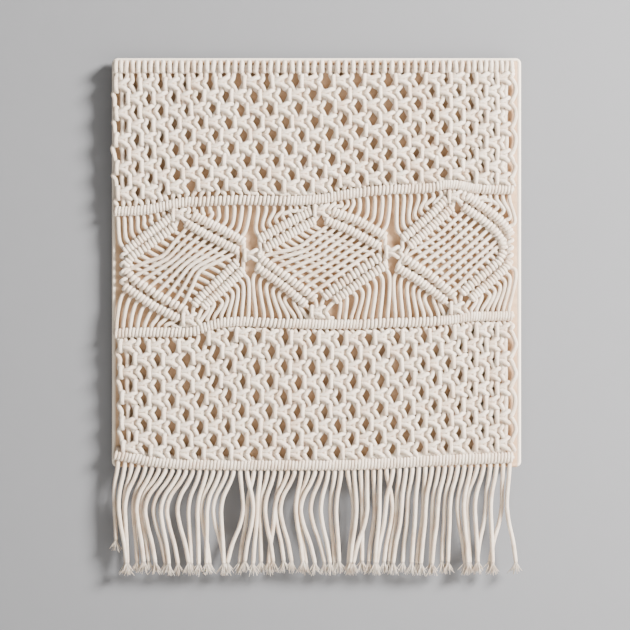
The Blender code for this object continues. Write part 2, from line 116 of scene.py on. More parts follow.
# Each diamond's knots, and the lines of its double rows of hitches, as (x, z) down each side. "bow" is how
# far the first front cord bows out, and what is added to that, cord by cord, up to the last.
DIAMONDS = (
    {
        "top": (-149.6, -142.6), "bottom": (-138.4, -257.1), "bow": (9, -21),
        "left": {
            "outer": (
                ((-158.6, -144.2), (-185.5, -163.9), (-211.3, -183.5)),
                ((-211.8, -221.0), (-178.8, -243), (-150.7, -257.2)),
            ),
            "inner": (
                ((-154.5, -154.5), (-184.4, -176.0), (-203.5, -189.1), (-210.2, -199.1)),
                ((-210.2, -203.1), (-200.1, -214), (-174.3, -231.0), (-150.6, -243.9), (-142.5, -248.2)),
            ),
        },
        "right": {
            "outer": (
                ((-136.1, -143.1), (-105.8, -157.8), (-79.0, -172.8)),
                ((-80, -203.0), (-100.2, -221.7), (-124.9, -244.2)),
            ),
            "inner": (
                ((-144.0, -151.5), (-118.2, -166.4), (-86.0, -182.4)),
                ((-86.7, -193.7), (-105.8, -213), (-128.3, -234), (-134.7, -242.5)),
            ),
        },
    },
    {
        "top": (5.6, -138.4), "bottom": (2.3, -249.0), "bow": (7.3, -7.3),
        "left": {
            "outer": (
                ((-5.6, -138.7), (-39.3, -156.0), (-63.6, -170.0)),
                ((-66.4, -199.3), (-35.9, -221.2), (-11.6, -241.8)),
            ),
            "inner": (
                ((-1.5, -148.8), (-28, -163.5), (-57.0, -180)),
                ((-61.7, -190.4), (-35.9, -208.9), (-7.8, -229.7), (-1.2, -235.5)),
            ),
        },
        "right": {
            "outer": (
                ((16.8, -138.6), (44.9, -149.2), (76, -166.6)),
                ((77.4, -197), (50.5, -214.6), (19.1, -237.4)),
            ),
            "inner": (
                ((9.5, -148.8), (37.1, -160.2), (69.6, -178)),
                ((70.7, -188.2), (47.2, -203.6), (13.9, -227.7), (7.6, -234.0)),
            ),
        },
    },
    {
        "top": (152.9, -122.8), "bottom": (154.9, -245.1), "bow": (3.3, -4.5),
        "left": {
            "outer": (
                ((142.6, -124.7), (127.2, -140.7), (110.8, -155), (93.5, -169.3)),
                ((87.3, -200), (113.9, -216.0), (141.6, -238)),
            ),
            "inner": (
                ((149.3, -134.4), (127.2, -155), (101.6, -177.5)),
                ((95.5, -189.9), (124.1, -208.8), (147.7, -228.7), (151.0, -233.0)),
            ),
        },
        "right": {
            "outer": (
                ((164.1, -122.7), (186.6, -137.0), (202, -149.4), (212.2, -162.2)),
                ((211.3, -194.9), (207.1, -201.1), (190.7, -216.4), (169.2, -234.9)),
            ),
            "inner": (
                ((160, -133.5), (178.4, -145.8), (193.8, -158.6), (203.5, -171.4), (205.6, -180.6)),
                ((205.6, -182.0), (200.5, -193), (186.7, -205.2), (164.1, -223.7), (159.0, -229.5)),
            ),
        },
    },
)
# The knots where two diamonds meet.
JUNCTIONS = ((-71.0, -186.9), (84.2, -183.6))

# How far each fringe cord drifts sideways half way down and at its tip.
FRINGE_DRIFT = (
    (-4.4, -2.2), (-6.6, 2.2), (-8.8, -6.6), (-14.3, -12), (-13.2, -8.8), (-16.5, -8.8),
    (-19.8, -11), (-22, -11), (-20.9, -7.7), (-19.8, -11), (-20.9, -8.8), (-16.5, -4.4),
    (-12, -9), (-9.4, -8.2), (-12.8, -3.9), (-13.8, -14.6), (-14.6, -2.5), (-13.4, -10.5),
    (3.2, -14), (6.9, -2.4), (-7.3, -15.3), (-3.6, -8.1), (-7.7, -7), (-9.9, -1.1),
    (-6, 3), (-14.3, -20.9), (-15.4, -3.3), (-6, 1.6), (-11, -2.2), (-15.4, 0),
    (-12.1, 3.3), (-8, 2), (-4.4, 0), (-5.5, -2.2), (6.6, 1.1), (2.4, -4),
    (2.2, 1.6), (0, -15), (1.6, -5), (-0.8, -5.5), (6.5, -2.6), (-8.1, -17.8),
    (-3, -11), (-5, -14), (-5, -10.5), (-4, -8), (-2, -9), (-7, -12),
    (-6, -8), (-8, -14), (-7, -10), (-8.8, -11), (-7.2, 1.1), (-7.7, -3.3),
    (-11, -7.7), (-9.9, -6.6), (-4.4, -14.3), (-6.6, -4.4), (-1.1, -14.3), (-3.3, 6.6),
)

CHANCE = random.Random(41)


def jitter(size):
    return CHANCE.uniform(-size, size)


# ---------------------------------------------------------------- courses
BAR_EASE = 3.0


def height(line, x):
    """The second value of a table at a value between its first ones."""
    return float(np.interp(x, *zip(*line)))


def eased(line, x):
    """A bar's middle, with its corners rounded off."""
    return (height(line, x - BAR_EASE) + height(line, x) + height(line, x + BAR_EASE)) / 3


def upper_bar(x):
    return eased(UPPER_BAR, x)


def lower_bar(x):
    return eased(LOWER_BAR, x)


def bottom_bar(x):
    return eased(BOTTOM_BAR, x)


def slot_x(strand):
    """Evenly spaced places, which sort the fringe cords into groups."""
    return KNOTTED_LEFT + PITCH * (strand + 0.5)


# ---------------------------------------------------------------- square-knot nets
# Each list is one cord's run through a knot, as (across, up, depth) from the knot's middle.
LEFT_WORKER = (
    (-10, 5, 4.5), (-8.3, 1.6, 4.6), (-4.5, 1.5, 7.4), (0, 3.1, 8.7), (3.6, 5.1, 8.0), (5.6, 6.0, 6.0),
    (7.8, 3.6, 3.4), (8.6, 0, 2.4), (8.1, -3.2, 2.8), (6.2, -6.4, 5.4), (3.8, -5.4, 7.8), (0, -3.1, 8.5),
    (-4.5, -1.7, 7.2), (-8.3, -1.6, 4.6), (-10.2, -5.2, 4.4), (-12.15, -9.5, 4.6),
)
LEFT_FILLER = ((-2, 2, 4.7), (-2, -2, 4.7), (-2.2, -6.5, 4.6))
RIGHT_FILLER = ((2, 2, 4.7), (2, -2, 4.7), (2.2, -6.5, 4.6))
RIGHT_WORKER = (
    (10.8, 4.6, 6), (9.2, 2, 6.6), (7.6, 0.8, 5), (4.5, 0.9, 2.4), (0, 1.8, 1.9), (-4.5, 3.6, 2.4),
    (-7.4, 6.2, 4.8), (-8.3, 5.6, 7.2), (-8.4, 2.5, 8.8), (-8.4, -2.5, 8.8), (-8.3, -5.6, 7.2),
    (-7.4, -6.4, 4.8), (-4.5, -3.8, 2.4), (0, -1.8, 1.9), (4.5, -0.9, 2.4), (7.6, -0.8, 5),
    (9.4, -2.4, 6.8), (11.2, -5.4, 6.2), (12.6, -8.6, 5),
)
ROLES = (LEFT_WORKER, LEFT_FILLER, RIGHT_FILLER, RIGHT_WORKER)


# A knot's usual spacing across and down, and how far the free cords hang outside the end column.
KNOT_ACROSS = 28.3
KNOT_DOWN = 15.1
FREE_CORD_REACH = {0: 10.0, STRANDS - 1: 13.2}
SECOND_CORD_REACH = 1.8


class Net:
    """Nine rows of square knots between two courses, every other row half a knot over."""

    def __init__(self, first_columns, last_columns, first, last):
        self.first, self.last = first, last
        self.knots = []
        for row, share in enumerate(ROW_SHARES):
            columns = [a * (1 - share) + b * share for a, b in zip(first_columns, last_columns)]
            spots = []
            for k in range(COLUMNS - row % 2):
                x = columns[k] if row % 2 == 0 else (columns[k] + columns[k + 1]) / 2
                x += jitter(0.7)
                z = self.first(x) * (1 - share) + self.last(x) * share + jitter(0.6)
                near, far = max(k - 1, 0), min(k + 1, COLUMNS - 1)
                wide = (columns[far] - columns[near]) / (far - near) / KNOT_ACROSS
                wide = 0.55 + 0.45 * wide + jitter(0.02)
                tall = (self.first(x) - self.last(x)) / (len(ROW_SHARES) - 1) / KNOT_DOWN
                spots.append((x, z, wide, tall, math.radians(jitter(4)), jitter(0.4)))
            self.knots.append(spots)

    def place(self, row, knot, points):
        x, z, wide, tall, turn, lift = self.knots[row][knot]
        placed = []
        for across, up, depth in points:
            across, up = across * wide, up * tall
            placed.append((
                x + across * math.cos(turn) - up * math.sin(turn),
                z + across * math.sin(turn) + up * math.cos(turn),
                depth + lift,
            ))
        return placed

    def run(self, strand):
        """The strand's points from the first row to the last."""
        points = []
        for row in range(len(ROW_SHARES)):
            if row % 2 == 0:
                points += self.place(row, strand // 4, ROLES[strand % 4])
            elif 2 <= strand < STRANDS - 2:
                points += self.place(row, (strand - 2) // 4, ROLES[(strand - 2) % 4])
            else:
                reach = FREE_CORD_REACH.get(strand, SECOND_CORD_REACH)
                points.append(self.beside(row, reach + jitter(0.8), strand < 2, 5.0))
        return points

    def beside(self, row, reach, left, depth):
        """Where a strand runs free beside the knots."""
        end = 0 if left else -1
        near = self.knots[row - row % 2][end]
        level = self.knots[row][end][1]
        return near[0] + reach * (-1 if left else 1), level, depth + jitter(0.3)


UPPER_NET = Net(
    UPPER_FIRST, UPPER_LAST,
    lambda x: PANEL_TOP - 26.6 + 0.0185 * x,
    lambda x: upper_bar(x) + 16 - 0.02 * x,
)
LOWER_NET = Net(
    LOWER_FIRST, LOWER_LAST,
    lambda x: lower_bar(x) - 15,
    lambda x: bottom_bar(x) + 14 + 0.012 * x,
)

# ---------------------------------------------------------------- hitches
# A double half hitch as (along the row, up from the row, depth), from above to below.
HITCH = (
    (-1.9, 3.2, 2.6), (-1.9, 0, 1.7), (-2.0, -3.7, 4.4), (-1.8, -1.8, 7.5), (-1.8, 1.8, 7.8),
    (-1.4, 3.8, 4.9), (-0.2, 0.4, 1.8), (1.5, -3.7, 4.2), (1.8, -1.9, 7.4), (1.9, 1.7, 7.9),
    (1.9, 3.8, 5.0), (1.2, 0.4, 2.0), (0.4, -3.8, 2.4),
)
HITCH_PITCH = 7.4


def hitch(middle, along, pitch=HITCH_PITCH, lean=0.16, lead_in=7.5, lead_out=7.5, tall=1.0):
    """One cord's double half hitch on a row that runs in direction `along`."""
    along = np.array(along) / np.hypot(*along)
    up = np.array((-along[1], along[0]))
    squeeze = pitch / HITCH_PITCH
    shift, lean = jitter(0.12), lean + jitter(0.03)
    points = []
    for across, rise, depth in HITCH:
        on_row = (across * squeeze + lean * rise + shift) * along + rise * tall * up
        points.append((middle[0] + on_row[0], middle[1] + on_row[1], depth + jitter(0.12)))
    if lead_in:
        start = middle + (-1.2 * squeeze) * along + lead_in * up
        points.insert(0, (start[0], start[1], 4.3))
    if lead_out:
        end = middle - lead_out * up
        points.append((end[0], end[1], 4.2))
    return points


def bar_hitch(course, places, strand, **leads):
    x = height(places, strand) + jitter(0.15)
    near, far = max(strand - 1, 0), min(strand + 1, STRANDS - 1)
    pitch = (height(places, far) - height(places, near)) / (far - near)
    slope = (course(x + 2) - course(x - 2)) / 4
    return hitch(np.array((x, course(x))), (1, slope), pitch, **leads)


# ---------------------------------------------------------------- diamonds
CROSSERS = 8
LEADERS = (8, 9, 10, 11)
DIAMOND_STRANDS = 2 * CROSSERS + len(LEADERS)
ROW_HITCH_HEIGHT = 0.82
COIL_RADIUS = 3.0
COIL_DEPTH = 2.6


class Row:
    """A line that hitches are tied along, from top to bottom."""

    def __init__(self, points):
        self.points = np.array(points, float)
        self.travel = np.concatenate([[0], np.cumsum(np.hypot(*np.diff(self.points, axis=0).T))])

    def spot(self, share):
        at = share * self.travel[-1]
        return np.array([np.interp(at, self.travel, self.points[:, i]) for i in range(2)])

    def hitched(self, place, count, **leads):
        """The hitch at a numbered place down a row that holds `count` cords."""
        share = (place + 0.5) / count
        run = self.spot(min(share + 0.06, 1)) - self.spot(max(share - 0.06, 0))
        along = run if run[0] > 0 else -run
        return hitch(self.spot(share), along, self.travel[-1] / count, 0.04, tall=ROW_HITCH_HEIGHT, **leads)

    def core(self, depth=4.7):
        """The leader's run inside the row's hitches."""
        return [(x, z, depth) for x, z in (self.spot(s) for s in np.linspace(0.02, 0.98, 7))]


def knot_at(middle, role, scale=0.92, skip_first=0, skip_last=0):
    """A single square knot's run for one of its four cords."""
    points = ROLES[role][skip_first:len(ROLES[role]) - skip_last]
    return [(middle[0] + across * scale, middle[1] + up * scale, depth) for across, up, depth in points]


def coil(start, end, turns=4):
    """A leader that winds round itself down the side corner of an outer diamond."""
    points = []
    steps = turns * 6
    for i in range(steps + 1):
        share, angle = i / steps, i / steps * turns * 2 * math.pi
        x = start[0] + (end[0] - start[0]) * share + COIL_RADIUS * math.cos(angle)
        z = start[1] + (end[1] - start[1]) * share
        points.append((x, z, 5.0 + COIL_DEPTH * math.sin(angle)))
    return points


class Diamond:
    """Twenty strands: four leaders in the middle, and eight a side that cross inside."""

    def __init__(self, index):
        self.first = DIAMOND_STRANDS * index
        self.plan = DIAMONDS[index]
        self.rows = {
            (side, ring, part): Row(self.plan[side][ring][part])
            for side in ("left", "right") for ring in ("outer", "inner") for part in (0, 1)
        }
        self.joints = {"left": JUNCTIONS[index - 1] if index else None,
                       "right": JUNCTIONS[index] if index < 2 else None}

    def run(self, strand):
        """(points, place on the lower bar) for one strand."""
        local = strand - self.first
        if local in LEADERS:
            return self.leader(local), strand
        over = CROSSERS + len(LEADERS)
        return self.crosser(local), strand + over if local < CROSSERS else strand - over

    def leader(self, local):
        role = LEADERS.index(local)
        side = "left" if role < 2 else "right"
        ring = "outer" if role in (0, 3) else "inner"
        upper, lower = (self.rows[side, ring, part] for part in (0, 1))
        worker = ring == "outer"
        points = knot_at(self.plan["top"], role, skip_last=2 if worker else 1)
        points += upper.core()
        if worker and self.joints[side] is not None:
            points += knot_at(self.joints[side], 3 if side == "left" else 0, skip_last=1)
        elif worker:
            points += coil(upper.points[-1], lower.points[0])
        points += lower.core()
        points += knot_at(self.plan["bottom"], role, skip_first=1 if worker else 0)
        return points

    def crosser(self, local):
        left = local < CROSSERS
        place = CROSSERS - 1 - local if left else local - CROSSERS - len(LEADERS)
        near, far = ("left", "right") if left else ("right", "left")
        lead = 6 if place < 2 else 11
        points = self.rows[near, "outer", 0].hitched(place, CROSSERS, lead_in=lead, lead_out=0)
        points += self.rows[near, "inner", 0].hitched(place, CROSSERS, lead_in=0, lead_out=5.5)
        inward = self.rows[far, "inner", 1].hitched(place, CROSSERS, lead_in=5.5, lead_out=0)
        points += self.across(points[-1], inward[0], left, place)
        points += inward
        lead = 6 if place > 5 else 11
        points += self.rows[far, "outer", 1].hitched(place, CROSSERS, lead_in=0, lead_out=lead)
        return points

    def across(self, start, end, behind, place):
        """The free run through the middle of the diamond, bowed to one side."""
        start, end = np.array(start), np.array(end)
        run = (end - start)[:2] / np.hypot(*(end - start)[:2])
        lower_side = np.array((-run[1], run[0]))
        top, fall = self.plan["bow"]
        bow = top + fall * place / (CROSSERS - 1) if not behind else jitter(1.5)
        points = []
        for share in (0.25, 0.5, 0.75):
            x, z = (start + (end - start) * share)[:2] + lower_side * bow * math.sin(math.pi * share) ** 2
            points.append((x, z, (1.9 if behind else 6.4) + jitter(0.2)))
        return points


# ---------------------------------------------------------------- header
HEADER_MIDDLE = 19.9
HEADER_OVERHANG = 8
HEADER_FOOT = 11


def header_x(strand):
    """Each header turn hangs straight above the knot its cord goes into."""
    strands = [0] + [4 * k + 1.5 for k in range(COLUMNS)] + [STRANDS - 1]
    places = (UPPER_FIRST[0] - HEADER_OVERHANG, *UPPER_FIRST, UPPER_FIRST[-1] + HEADER_OVERHANG)
    return float(np.interp(strand, strands, places))


def header_turn(strand, mirrored):
    """A strand's run from its leg up behind the holding cord, over it, and down the front to the fold."""
    x, side = header_x(strand), -1 if mirrored else 1
    z = HEADER_MIDDLE + jitter(0.3)
    lean = jitter(0.5)
    return [
        (x - 1.0 * side, z - 9.0, 4.6),
        (x - 0.9 * side, z - 5.6, 3.4),
        (x - 0.3 * side, z, 1.2),
        (x, z + 4.2, 2.6),
        (x + 0.1 + lean * 0.4, z + 4.6, 5.8),
        (x + 0.2 + lean * 0.2, z + 1.8, 8.0),
        (x + 0.3 * side - lean * 0.3, z - 2.0, 8.2),
        (x + 0.5 * side - lean * 0.5, z - 4.9, 6.8),
        (x + 1.2 * side - lean * 0.5, z - 5.0, 4.0),
        (x + 2.2 * side, z - 3.8, 2.0),
    ]


# ---------------------------------------------------------------- whole strands
BOTTOM_BAR_HEIGHT = 1.22
DIAMOND_RUNS = {}
for index in range(len(DIAMONDS)):
    diamond = Diamond(index)
    for strand in range(diamond.first, diamond.first + DIAMOND_STRANDS):
        DIAMOND_RUNS[strand] = diamond.run(strand)


def strand_run(strand):
    """A strand from below the header to the bottom bar."""
    through, out = DIAMOND_RUNS[strand]
    points = UPPER_NET.run(strand)
    lead = 7 if strand % DIAMOND_STRANDS in LEADERS else 11
    points += bar_hitch(upper_bar, UPPER_PLACES, strand, lead_out=lead)
    points += through
    points += bar_hitch(lower_bar, LOWER_PLACES, out)
    points += LOWER_NET.run(out)
    points += bar_hitch(bottom_bar, BOTTOM_PLACES, out, lead_out=0, tall=BOTTOM_BAR_HEIGHT)
    return points


# ---------------------------------------------------------------- tubes
def smooth_line(points, step):
    """A centripetal Catmull-Rom curve through the points, read off at equal steps."""
    p = np.asarray(points, float)
    p = np.vstack([2 * p[0] - p[1], p, 2 * p[-1] - p[-2]])
    # p0 to p3 are four neighbouring points, and t1 to t3 are the last three's places along the curve.
    p0, p1, p2, p3 = p[:-3], p[1:-2], p[2:-1], p[3:]

    def gap(a, b):
        return np.maximum(np.linalg.norm(b - a, axis=1, keepdims=True) ** 0.5, 1e-3)

    t1 = gap(p0, p1)
    t2 = t1 + gap(p1, p2)
    t3 = t2 + gap(p2, p3)
    runs = []
    for share in np.linspace(0, 1, 8, endpoint=False):
        t = t1 + (t2 - t1) * share
        a1 = (t1 - t) / t1 * p0 + t / t1 * p1
        a2 = (t2 - t) / (t2 - t1) * p1 + (t - t1) / (t2 - t1) * p2
        a3 = (t3 - t) / (t3 - t2) * p2 + (t - t2) / (t3 - t2) * p3
        b1 = (t2 - t) / t2 * a1 + t / t2 * a2
        b2 = (t3 - t) / (t3 - t1) * a2 + (t - t1) / (t3 - t1) * a3
        runs.append((t2 - t) / (t2 - t1) * b1 + (t - t1) / (t2 - t1) * b2)
    fine = np.vstack([np.stack(runs, 1).reshape(-1, 3), p[-2]])
    travel = np.concatenate([[0], np.cumsum(np.linalg.norm(np.diff(fine, axis=0), axis=1))])
    count = max(3, int(round(travel[-1] / step)) + 1)
    at = np.linspace(0, travel[-1], count)
    return np.stack([np.interp(at, travel, fine[:, i]) for i in range(3)], 1), at


def frames(line):
    """Tangents and a sideways vector at each point, turning as little as possible."""
    tangent = np.gradient(line, axis=0)
    tangent /= np.linalg.norm(tangent, axis=1, keepdims=True)
    side = np.empty_like(tangent)
    seed = np.cross(tangent[0], (0.0, 0.3, 1.0))
    side[0] = seed / np.linalg.norm(seed)
    for i in range(1, len(line)):
        carried = side[i - 1] - np.dot(side[i - 1], tangent[i]) * tangent[i]
        side[i] = carried / max(np.linalg.norm(carried), 1e-9)
    return tangent, side


def eased_in(past, over):
    """0 where a distance is negative, rising to 1 over a length."""
    return np.clip(past / over, 0, 1)


def girth(line):
    """A cord's radius along its run: plump in the nets and the header, tighter on the bars."""
    x, z = line[:, 0], line[:, 1]
    bars = [np.interp(x, *zip(*course)) for course in (UPPER_BAR, LOWER_BAR, BOTTOM_BAR)]
    clear, easing = 6, 4
    above = eased_in(z - bars[0] - clear, easing)
    below = eased_in(bars[1] - z - clear, easing) * eased_in(z - bars[2] - clear, easing)
    head = eased_in(z - HEADER_FOOT, easing)
    nearest_bar = np.min([np.abs(z - bar) for bar in bars], axis=0)
    bar_reach, bar_easing = 8, 3
    on_bar = eased_in(bar_reach - nearest_bar, bar_easing)
    radius = FLOAT_RADIUS + (KNOT_RADIUS - FLOAT_RADIUS) * np.maximum(above, below)
    return radius + HEADER_SWELL * head - BAR_SQUEEZE * on_bar


class Strands:
    """Gathers tubes into one mesh, with a map that runs round and along each."""

    def __init__(self):
        self.points, self.faces = [], []
        self.maps, self.tones = [], []
        self.count = 0

    def add(self, points, radius=CORD_RADIUS, sides=8, step=1.3, tone=None, taper=None):
        """One tube along the points. The taper is (shares of its length, shares of its radius)."""
        line, travel = smooth_line(points, step)
        tangent, side = frames(line)
        over = np.cross(tangent, side)
        angle = np.linspace(0, 2 * math.pi, sides, endpoint=False)
        thick = radius(line) if callable(radius) else np.full(len(line), float(radius))
        if taper is not None:
            thick = thick * np.interp(np.linspace(0, 1, len(line)), *taper)
        ring = (np.cos(angle)[None, :, None] * side[:, None, :]
                + np.sin(angle)[None, :, None] * over[:, None, :]) * thick[:, None, None]
        ring = ring + line[:, None, :]
        rings = len(line)
        base = self.count
        self.points.append(ring.reshape(-1, 3))
        first = np.arange(rings - 1)[:, None] * sides
        corner = np.arange(sides)[None, :]
        after = (corner + 1) % sides
        quad = np.stack([first + corner, first + after, first + sides + after, first + sides + corner], -1)
        self.faces.append(quad.reshape(-1, 4) + base)
        level = np.zeros_like(first + corner)
        left, right = corner + level, corner + 1 + level
        low, high = travel[:-1, None] + level, travel[1:, None] + level
        u = np.stack([left, right, right, left], -1) / sides
        v = np.stack([low, low, high, high], -1)
        self.maps.append(np.stack([u, v], -1).reshape(-1, 2))
        last = base + (rings - 1) * sides
        self.faces.append(np.array([np.arange(base, base + sides)[::-1], np.arange(last, last + sides)]))
        self.maps.append(np.zeros((2 * sides, 2)))
        shade = jitter(1.0) if tone is None else tone
        self.tones.append(np.full(rings * sides, shade))
        self.count += rings * sides

    def build(self, name, material):
        co = np.vstack(self.points)
        world = np.stack([co[:, 0], REAR_OF_KNOTTING - co[:, 2], co[:, 1]], 1) / 1000
        return mesh_from(name, world, self.faces, np.vstack(self.maps), material,
                         tones=np.concatenate(self.tones))


def mesh_from(name, points, face_sets, maps, material, tones=None, smooth=True):
    """An object from numpy arrays: points in metres, faces in sets of one size each."""
    mesh = bpy.data.meshes.new(name)
    loops = np.concatenate([np.asarray(f).reshape(-1) for f in face_sets]).astype(np.int32)
    sizes = np.concatenate([np.full(len(f), np.asarray(f).shape[1]) for f in face_sets])
    starts = np.concatenate([[0], np.cumsum(sizes)[:-1]])
    mesh.vertices.add(len(points))
    mesh.vertices.foreach_set("co", np.asarray(points, np.float32).reshape(-1))
    mesh.loops.add(len(loops))
    mesh.loops.foreach_set("vertex_index", loops)
    mesh.polygons.add(len(sizes))
    mesh.polygons.foreach_set("loop_start", starts.astype(np.int32))
    if maps is not None:
        layer = mesh.uv_layers.new(name="UVMap")
        layer.data.foreach_set("uv", np.asarray(maps, np.float32).reshape(-1))
    if tones is not None:
        attribute = mesh.attributes.new("tone", "FLOAT", "POINT")
        attribute.data.foreach_set("value", np.asarray(tones, np.float32))
    mesh.update(calc_edges=True)
    mesh.validate()
    if smooth:
        mesh.polygons.foreach_set("use_smooth", np.ones(len(mesh.polygons), bool))
    mesh.materials.append(material)
    made = bpy.data.objects.new(name, mesh)
    bpy.context.scene.collection.objects.link(made)
    return made


# ---------------------------------------------------------------- materials
def srgb(r, g, b):
    """A linear colour from 0 to 255 screen values."""
    linear = [(c / 255) / 12.92 if c <= 10 else ((c / 255 + 0.055) / 1.055) ** 2.4 for c in (r, g, b)]
    return (*linear, 1.0)


class Shader:
    """A Principled material with its nodes wired by short calls."""

    def __init__(self, name):
        self.material = bpy.data.materials.new(name)
        self.material.use_nodes = True
        self.tree = self.material.node_tree
        self.tree.nodes.clear()
        self.out = self.tree.nodes.new("ShaderNodeOutputMaterial")
        self.skin = self.tree.nodes.new("ShaderNodeBsdfPrincipled")
        self.tree.links.new(self.skin.outputs[0], self.out.inputs[0])

    def node(self, kind, **settings):
        made = self.tree.nodes.new(kind)
        inputs = settings.pop("inputs", {})
        for key, value in settings.items():
            setattr(made, key, value)
        for key, value in inputs.items():
            socket = made.inputs[key]
            if hasattr(value, "links"):
                self.tree.links.new(value, socket)
            else:
                socket.default_value = value
        return made

    def math(self, operation, a, b=0.0):
        return self.node("ShaderNodeMath", operation=operation, inputs={0: a, 1: b}).outputs[0]

    def set(self, name, value):
        socket = self.skin.inputs[name]
        if hasattr(value, "links"):
            self.tree.links.new(value, socket)
        else:
            socket.default_value = value

    def ramp(self, factor, *stops):
        made = self.node("ShaderNodeValToRGB", inputs={0: factor})
        elements = made.color_ramp.elements
        while len(elements) < len(stops):
            elements.new(0.5)
        for element, (at, colour) in zip(elements, stops):
            element.position = at
            element.color = colour
        return made.outputs[0]

    def mix(self, factor, a, b):
        made = self.node("ShaderNodeMix", data_type="RGBA")
        for key, value in ((0, factor), (6, a), (7, b)):
            if hasattr(value, "links"):
                self.tree.links.new(value, made.inputs[key])
            else:
                made.inputs[key].default_value = value
        return made.outputs[2]

    def bump(self, height, distance, strength=1.0):
        inputs = {"Height": height, "Distance": distance, "Strength": strength}
        return self.node("ShaderNodeBump", inputs=inputs).outputs[0]


PLIES = 5
PLY_LENGTH = 1.15
# Where the painted highlight on the cloth's side and top edges begins, in metres from the middle and up.
PAINTED_HIGHLIGHT_SIDE = 0.2205
PAINTED_HIGHLIGHT_TOP = 0.0262


def cotton_cord():
    """Soft braided cotton: fine crossing plies, faint fuzz, and a slightly different tone for each cord."""
    look = Shader("cotton_cord")
    place = look.node("ShaderNodeTexCoord")
    split = look.node("ShaderNodeSeparateXYZ", inputs={0: place.outputs["UV"]})
    u, v = split.outputs[0], split.outputs[1]
    plies = []
    for turn in (1, -1):
        around = look.math("MULTIPLY", u, 2 * math.pi * PLIES * turn)
        phase = look.math("ADD", around, look.math("MULTIPLY", v, 2 * math.pi / PLY_LENGTH))
        plies.append(look.math("SINE", phase))
    braid = look.math("MAXIMUM", plies[0], plies[1])
    fuzz = look.node("ShaderNodeTexNoise", inputs={
        "Vector": place.outputs["Object"], "Scale": 2600.0, "Detail": 3.0, "Roughness": 0.7})
    soft = look.node("ShaderNodeTexNoise", inputs={
        "Vector": place.outputs["Object"], "Scale": 90.0, "Detail": 2.0})
    tone = look.node("ShaderNodeAttribute", attribute_name="tone")
    height = look.math("ADD", look.math("MULTIPLY", braid, 0.9), look.math("MULTIPLY", fuzz.outputs[0], 0.7))
    height = look.math("ADD", height, look.math("MULTIPLY", soft.outputs[0], 0.8))
    shade = look.math("ADD", look.math("MULTIPLY", tone.outputs["Fac"], 0.12), soft.outputs[0])
    shade = look.math("ADD", shade, look.math("MULTIPLY", braid, 0.11))
    colour = look.ramp(shade, (0.30, srgb(221, 197, 174)), (0.62, srgb(240, 224, 206)))
    look.set("Base Color", colour)
    look.set("Roughness", look.math("ADD", look.math("MULTIPLY", fuzz.outputs[0], 0.15), 0.76))
    look.set("Sheen Weight", 0.25)
    look.set("Sheen Roughness", 0.5)
    look.set("Specular IOR Level", 0.25)
    look.set("Subsurface Weight", 0.12)
    look.set("Subsurface Radius", (1.0, 0.72, 0.5))
    look.set("Subsurface Scale", 0.0012)
    look.set("Normal", look.bump(height, 0.00034))
    return look.material


def woven_cloth(name, dark, light, thread, rough=0.85):
    """Plain-weave cotton with slubs, with a painted highlight in pale cream along its side and top edges."""
    look = Shader(name)
    place = look.node("ShaderNodeTexCoord").outputs["Object"]
    split = look.node("ShaderNodeSeparateXYZ", inputs={0: place})
    scale = 2 * math.pi / thread
    warp = look.math("SINE", look.math("MULTIPLY", split.outputs[0], scale))
    weft = look.math("SINE", look.math("MULTIPLY", split.outputs[2], scale))
    weave = look.math("MULTIPLY", warp, weft)
    slub = look.node("ShaderNodeTexNoise", inputs={"Vector": place, "Scale": 160.0, "Detail": 3.0})
    broad = look.node("ShaderNodeTexNoise", inputs={"Vector": place, "Scale": 9.0, "Detail": 2.0})
    shade = look.math("ADD", look.math("MULTIPLY", weave, 0.12), look.math("MULTIPLY", slub.outputs[0], 0.6))
    shade = look.math("ADD", shade, look.math("MULTIPLY", broad.outputs[0], 0.4))
    # Painted highlight: beyond these limits the side and top edges turn pale cream, standing in for light
    # caught by the rolled edges.
    side = look.math("SUBTRACT", look.math("ABSOLUTE", split.outputs[0]), PAINTED_HIGHLIGHT_SIDE)
    top = look.math("SUBTRACT", split.outputs[2], PAINTED_HIGHLIGHT_TOP)
    painted_edge_highlight = look.math("MULTIPLY", look.math("MAXIMUM", side, top), 600)
    painted_edge_highlight = look.math("MINIMUM", look.math("MAXIMUM", painted_edge_highlight, 0), 1)
    look.set("Base Color", look.mix(painted_edge_highlight, look.ramp(shade, (0.3, dark), (0.7, light)), srgb(236, 222, 204)))
    look.set("Roughness", look.math("ADD", look.math("MULTIPLY", slub.outputs[0], 0.12), rough - 0.06))
    look.set("Sheen Weight", 0.2)
    look.set("Specular IOR Level", 0.2)
    height = look.math("ADD", weave, look.math("MULTIPLY", slub.outputs[0], 1.2))
    look.set("Normal", look.bump(height, 0.00012))
    return look.material


def pine():
    look = Shader("pine")
    place = look.node("ShaderNodeTexCoord").outputs["Object"]
    stretch = look.node("ShaderNodeMapping", inputs={0: place})
    stretch.inputs["Scale"].default_value = (1.2, 60.0, 34.0)
    grain = look.node("ShaderNodeTexNoise", inputs={
        "Vector": stretch.outputs[0], "Scale": 6.0, "Detail": 5.0})
    colour = look.ramp(grain.outputs[0], (0.35, srgb(196, 152, 98)), (0.65, srgb(224, 188, 136)))
    look.set("Base Color", colour)
    look.set("Roughness", look.math("ADD", look.math("MULTIPLY", grain.outputs[0], 0.25), 0.45))
    look.set("Normal", look.bump(grain.outputs[0], 0.0002, 0.5))
    return look.material


